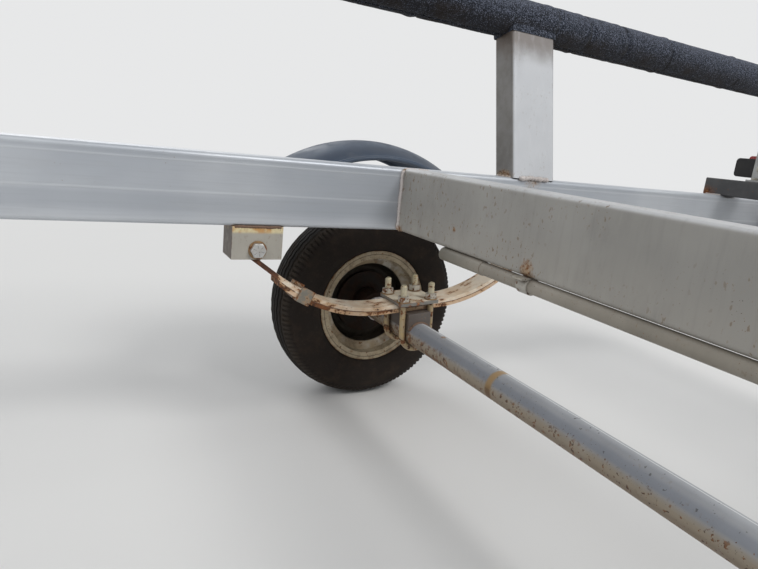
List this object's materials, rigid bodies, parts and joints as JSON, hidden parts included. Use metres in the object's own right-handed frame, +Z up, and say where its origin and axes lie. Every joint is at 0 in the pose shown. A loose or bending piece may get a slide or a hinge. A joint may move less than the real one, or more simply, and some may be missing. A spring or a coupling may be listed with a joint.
{
  "type": "boat trailer",
  "caption": "Two-wheeled boat trailer of rectangular steel tube with leaf springs, carpeted round bunks, winch post, ball coupler and swing-up tongue jack.",
  "frame": {"origin": "on the ground, midway between tail and coupler nose, on the centre line", "axes": "+X forward to the coupler, +Y to the trailer's left, +Z up"},
  "size_m": [4.57, 1.7036, 1.118],
  "materials": {
    "frame_paint": "aged silver paint with rust specks",
    "fender_paint": "dark satin paint",
    "spring_steel": "worn cream paint over rust",
    "zinc": "dull zinc plating with rust",
    "rim_paint": "cream wheel paint, rusty at the bead",
    "hub_metal": "greasy cast iron",
    "tyre_rubber": "dusty worn rubber",
    "carpet": "charcoal marine carpet",
    "black_plastic": "weathered black plastic",
    "red_lens": "red moulded lens",
    "black_rubber": "moulded rubber",
    "dark_bar": "dark grey paint, rusty ends"
  },
  "bodies": {
    "root": {"axle_tube": "frame_paint", "bow_stop": "black_rubber", "bow_stop_bracket": "frame_paint", "bunk_carpet_left": "carpet", "bunk_carpet_right": "carpet", "bunk_post_front_left": "frame_paint", "bunk_post_front_right": "frame_paint", "bunk_post_rear_left": "frame_paint", "bunk_post_rear_right": "frame_paint", "bunk_tube_left": "frame_paint", "bunk_tube_right": "frame_paint", "conduit": "frame_paint", "conduit_straps": "zinc", "coupler": "zinc", "coupler_latch": "zinc", "coupler_socket": "zinc", "crossmember_axle": "frame_paint", "crossmember_front": "frame_paint", "crossmember_rear": "frame_paint", "drawbar_left": "frame_paint", "drawbar_right": "frame_paint", "eye_bushes": "black_rubber", "fender_left": "fender_paint", "fender_right": "fender_paint", "fender_stays": "frame_paint", "hanger_bolts": "zinc", "jack_mount": "zinc", "keel_roller_bracket": "zinc", "lamp_brackets": "zinc", "leaf_spring_left": "spring_steel", "leaf_spring_right": "spring_steel", "light_bar": "dark_bar", "rebound_clips": "spring_steel", "side_rail_left": "frame_paint", "side_rail_right": "frame_paint", "spindles": "zinc", "spring_hangers_left": "frame_paint", "spring_hangers_right": "frame_paint", "spring_seats": "frame_paint", "tail_lamps": "black_plastic", "tail_lenses": "red_lens", "tie_plates": "spring_steel", "tongue_beam": "frame_paint", "u_bolts_left": "zinc", "u_bolts_right": "zinc", "winch_crank": "zinc", "winch_frame": "zinc", "winch_post": "frame_paint", "winch_spool": "zinc"},
    "wheel_right": {"tyre_right": "tyre_rubber", "rim_right": "rim_paint", "hub_right": "hub_metal"},
    "wheel_left": {"tyre_left": "tyre_rubber", "rim_left": "rim_paint", "hub_left": "hub_metal"},
    "jack_swing": {"jack_tube": "zinc", "jack_crank": "zinc"},
    "jack_leg": {"jack_leg": "zinc", "jack_foot": "zinc"},
    "keel_roller": {"keel_roller": "black_rubber"}
  },
  "joints": [
    {"name": "wheel_right_spin", "type": "hinge", "parent": "root", "child": "wheel_right", "pos_m": [-1.225, -0.7668, 0.195], "axis": [0, 1, 0], "continuous": true},
    {"name": "wheel_left_spin", "type": "hinge", "parent": "root", "child": "wheel_left", "pos_m": [-1.225, 0.7668, 0.195], "axis": [0, 1, 0], "continuous": true},
    {"name": "jack_swing", "type": "hinge", "parent": "root", "child": "jack_swing", "pos_m": [1.665, 0.0981, 0.4292], "axis": [0, 1, 0], "range_deg": [0, 90]},
    {"name": "jack_extend", "type": "slide", "parent": "jack_swing", "child": "jack_leg", "axis": [0, 0, -1], "range_m": [-0.2, 0.08]},
    {"name": "keel_roller_spin", "type": "hinge", "parent": "root", "child": "keel_roller", "pos_m": [-2.2436, 0, 0.542], "axis": [0, 1, 0], "continuous": true}
  ]
}
